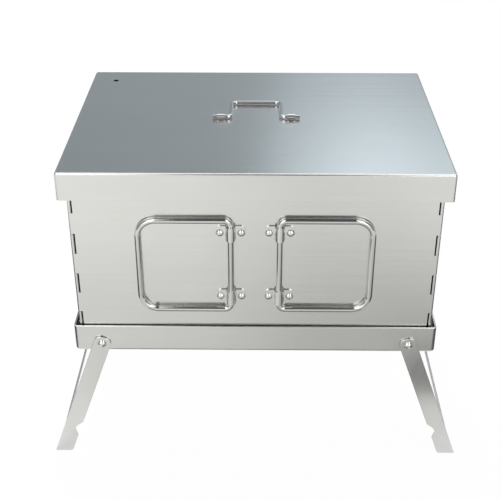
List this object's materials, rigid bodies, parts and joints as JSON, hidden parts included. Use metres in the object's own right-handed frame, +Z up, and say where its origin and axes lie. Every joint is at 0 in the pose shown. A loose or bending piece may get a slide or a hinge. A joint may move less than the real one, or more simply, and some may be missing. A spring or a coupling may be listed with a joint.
{
  "type": "tabletop smoker",
  "caption": "Knock-down tabletop smoker: pinned sheet-steel hood with two swinging wire loops, lift-off lid with folding bail, tray on folding strap legs, racks and pans inside.",
  "frame": {"origin": "on the ground, under the middle of the tray", "axes": "+X to the right along the long side, -Y to the front with the loops, +Z up"},
  "size_m": [0.4466, 0.2796, 0.3515],
  "materials": {
    "brushed_sheet": "horizontal brushed grain, lightly satin",
    "polished_wire": "polished round wire",
    "rivet_steel": "bright domed rivets",
    "rack_wire": "drawn wire, welded",
    "pan_sheet": "plain rolled sheet"
  },
  "bodies": {
    "base": {"tray": "brushed_sheet", "leg_rivets": "rivet_steel", "leg_washers": "rivet_steel"},
    "left_legs": {"left_leg_front_strap": "brushed_sheet", "left_leg_rear_strap": "brushed_sheet", "left_leg_crossbar": "polished_wire"},
    "right_legs": {"right_leg_front_strap": "brushed_sheet", "right_leg_rear_strap": "brushed_sheet", "right_leg_crossbar": "polished_wire"},
    "hood": {"front_wall": "brushed_sheet", "rear_wall": "brushed_sheet", "left_wall": "brushed_sheet", "right_wall": "brushed_sheet", "corner_pin_front_left": "polished_wire", "corner_pin_front_right": "polished_wire", "corner_pin_rear_left": "polished_wire", "corner_pin_rear_right": "polished_wire", "left_loop_lower_clip": "brushed_sheet", "left_loop_upper_clip": "brushed_sheet", "right_loop_lower_clip": "brushed_sheet", "right_loop_upper_clip": "brushed_sheet", "clip_rivets": "rivet_steel"},
    "left_loop": {"left_loop": "polished_wire"},
    "right_loop": {"right_loop": "polished_wire"},
    "lid": {"lid": "brushed_sheet", "bail_clip_left": "brushed_sheet", "bail_clip_right": "brushed_sheet"},
    "bail": {"bail": "polished_wire"},
    "lower_rack": {"lower_rack_grid": "rack_wire", "lower_rack_left_frame": "rack_wire", "lower_rack_right_frame": "rack_wire"},
    "upper_rack": {"upper_rack_grid": "rack_wire", "upper_rack_left_frame": "rack_wire", "upper_rack_right_frame": "rack_wire"},
    "drip_tray": {"drip_tray": "pan_sheet"},
    "chip_pan": {"chip_pan": "pan_sheet"}
  },
  "joints": [
    {"name": "left_legs_fold", "type": "hinge", "parent": "base", "child": "left_legs", "pos_m": [-0.1603, 0, 0.14737], "axis": [0, -1, 0], "range_deg": [0, 107.6]},
    {"name": "right_legs_fold", "type": "hinge", "parent": "base", "child": "right_legs", "pos_m": [0.1603, 0, 0.14737], "axis": [0, 1, 0], "range_deg": [0, 107.6]},
    {"name": "hood_lift", "type": "slide", "parent": "base", "child": "hood", "axis": [0, 0, 1], "range_m": [0, 0.24]},
    {"name": "left_loop_swing", "type": "hinge", "parent": "hood", "child": "left_loop", "pos_m": [-0.0243, -0.1345, 0.24207], "axis": [0, 0, 1], "range_deg": [0, 100]},
    {"name": "right_loop_swing", "type": "hinge", "parent": "hood", "child": "right_loop", "pos_m": [0.0243, -0.1345, 0.24207], "axis": [0, 0, -1], "range_deg": [0, 100]},
    {"name": "lid_lift", "type": "slide", "parent": "hood", "child": "lid", "axis": [0, 0, 1], "range_m": [0, 0.15]},
    {"name": "bail_fold", "type": "hinge", "parent": "lid", "child": "bail", "pos_m": [0, -0.004, 0.34867], "axis": [1, 0, 0], "range_deg": [0, 180]},
    {"name": "lower_rack_lift", "type": "slide", "parent": "base", "child": "lower_rack", "axis": [0, 0, 1], "range_m": [0, 0.03]},
    {"name": "upper_rack_lift", "type": "slide", "parent": "lower_rack", "child": "upper_rack", "axis": [0, 0, 1], "range_m": [0, 0.03]},
    {"name": "drip_tray_lift", "type": "slide", "parent": "lower_rack", "child": "drip_tray", "axis": [0, 0, 1], "range_m": [0, 0.02]},
    {"name": "chip_pan_lift", "type": "slide", "parent": "base", "child": "chip_pan", "axis": [0, 0, 1], "range_m": [0, 0.009]}
  ]
}
